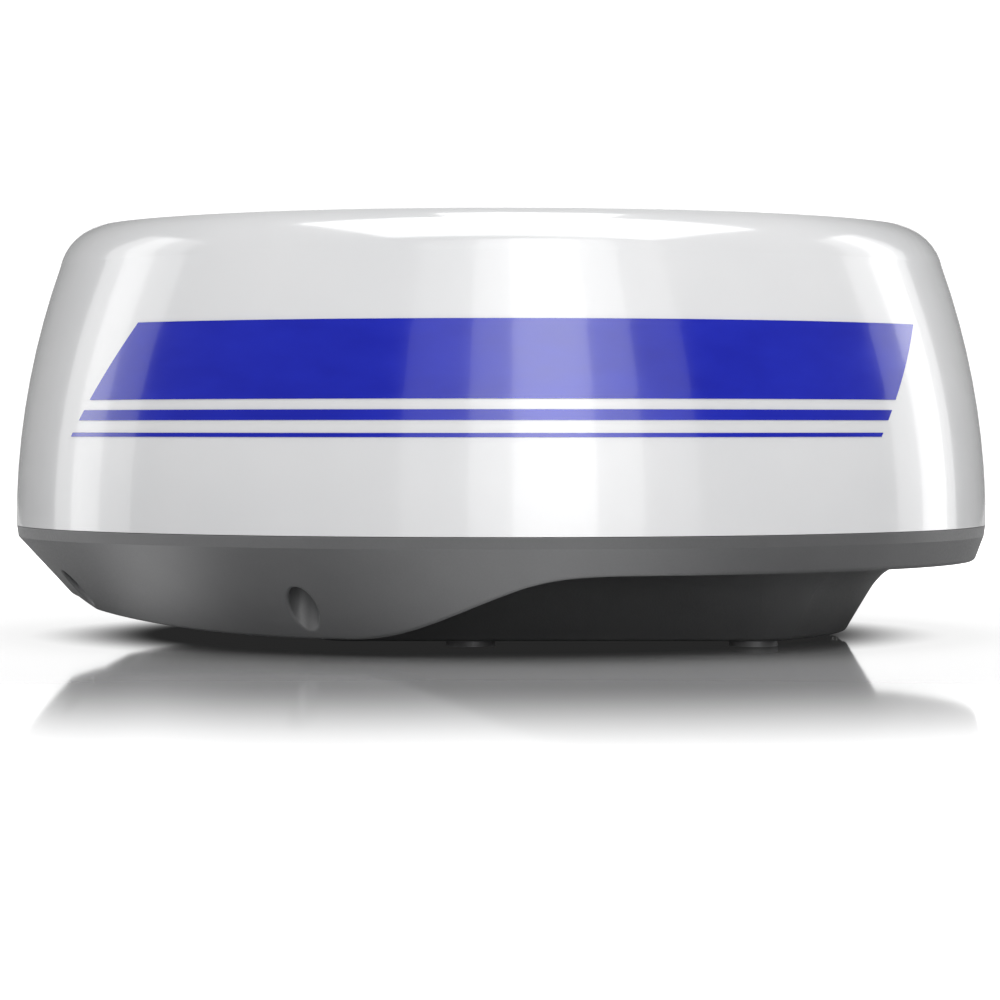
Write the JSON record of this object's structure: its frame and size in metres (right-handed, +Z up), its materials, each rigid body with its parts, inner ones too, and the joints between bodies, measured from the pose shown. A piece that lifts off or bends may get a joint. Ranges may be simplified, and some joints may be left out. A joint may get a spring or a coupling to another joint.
{
  "type": "radar dome antenna",
  "caption": "Closed radar dome with a shouldered white radome on a sloped grey base; a belt-driven antenna turns inside and four threaded bosses mount it.",
  "frame": {"origin": "on the dome's axis, in the plane that the four mounting bosses rest on", "axes": "+Z up the antenna's spin axis; -X towards the bow; -Y towards port"},
  "size_m": [0.5099, 0.51, 0.2225],
  "materials": {
    "radome_white": "gloss paint",
    "array_skin": "satin",
    "base_grey": "fine grained",
    "rubber_black": "matt",
    "stainless": "satin",
    "brass": "turned",
    "black_plastic": "moulded",
    "aluminium": "machined",
    "motor_paint": "satin",
    "board_green": "lacquered",
    "can_steel": "tinned",
    "component_black": "sleeved",
    "transceiver_alloy": "cast"
  },
  "bodies": {
    "base": {"base_housing": "base_grey", "rim_seal": "rubber_black", "mount_bushes": "stainless", "breather_vent": "black_plastic", "connector_socket": "black_plastic", "socket_gasket": "rubber_black", "socket_screws": "stainless", "cable_retainer": "base_grey", "retainer_screws": "stainless", "chassis_plate": "aluminium", "chassis_screws": "stainless", "bearing_housing": "aluminium", "housing_screws": "stainless", "bearing_outer_races": "stainless", "drive_belt": "rubber_black", "drive_motor": "motor_paint", "motor_screws": "stainless", "idler_bracket": "aluminium", "idler_axle": "stainless", "position_sensor": "black_plastic", "slip_ring_stator": "black_plastic", "board_standoffs": "brass", "board_screws": "stainless", "main_board": "board_green", "power_board": "board_green", "shield_can": "can_steel", "capacitors": "component_black", "power_choke": "component_black"},
    "antenna": {"antenna_shaft": "stainless", "bearing_inner_races": "stainless", "bearing_balls": "stainless", "shaft_circlip": "stainless", "driven_pulley": "black_plastic", "index_magnet": "stainless", "slip_ring_rotor": "brass", "turntable": "aluminium", "support_brackets": "aluminium", "panel_frame": "aluminium", "antenna_panel": "board_green", "array_cover": "array_skin", "panel_screws": "stainless", "transceiver_housing": "transceiver_alloy", "transceiver_board": "board_green", "transceiver_lid": "transceiver_alloy", "lid_screws": "stainless"},
    "motor_rotor": {"motor_shaft": "stainless", "motor_pulley": "black_plastic"},
    "idler": {"idler_wheel": "black_plastic"},
    "radome": {"radome_cover": "radome_white", "radome_inserts": "brass"},
    "bolts": {"captive_bolts": "stainless", "bolt_washers": "stainless"}
  },
  "joints": [
    {"name": "antenna_spin", "type": "hinge", "parent": "base", "child": "antenna", "pos_m": [0, 0, 0.053], "axis": [0, 0, 1], "continuous": true},
    {"name": "motor_spin", "type": "hinge", "parent": "base", "child": "motor_rotor", "pos_m": [-0.095, 0, 0.06], "axis": [0, 0, 1], "continuous": true},
    {"name": "idler_spin", "type": "hinge", "parent": "base", "child": "idler", "pos_m": [-0.06073, 0.03573, 0.075], "axis": [0, 0, 1], "continuous": true},
    {"name": "radome_lift", "type": "slide", "parent": "base", "child": "radome", "axis": [0, 0, 1], "range_m": [0, 0.2]},
    {"name": "bolt_release", "type": "slide", "parent": "base", "child": "bolts", "axis": [0, 0, -1], "range_m": [0, 0.0125]}
  ],
  "couplings": [
    {"joint": "motor_spin", "follows": "antenna_spin", "ratio": 4},
    {"joint": "idler_spin", "follows": "antenna_spin", "ratio": -5.5}
  ]
}
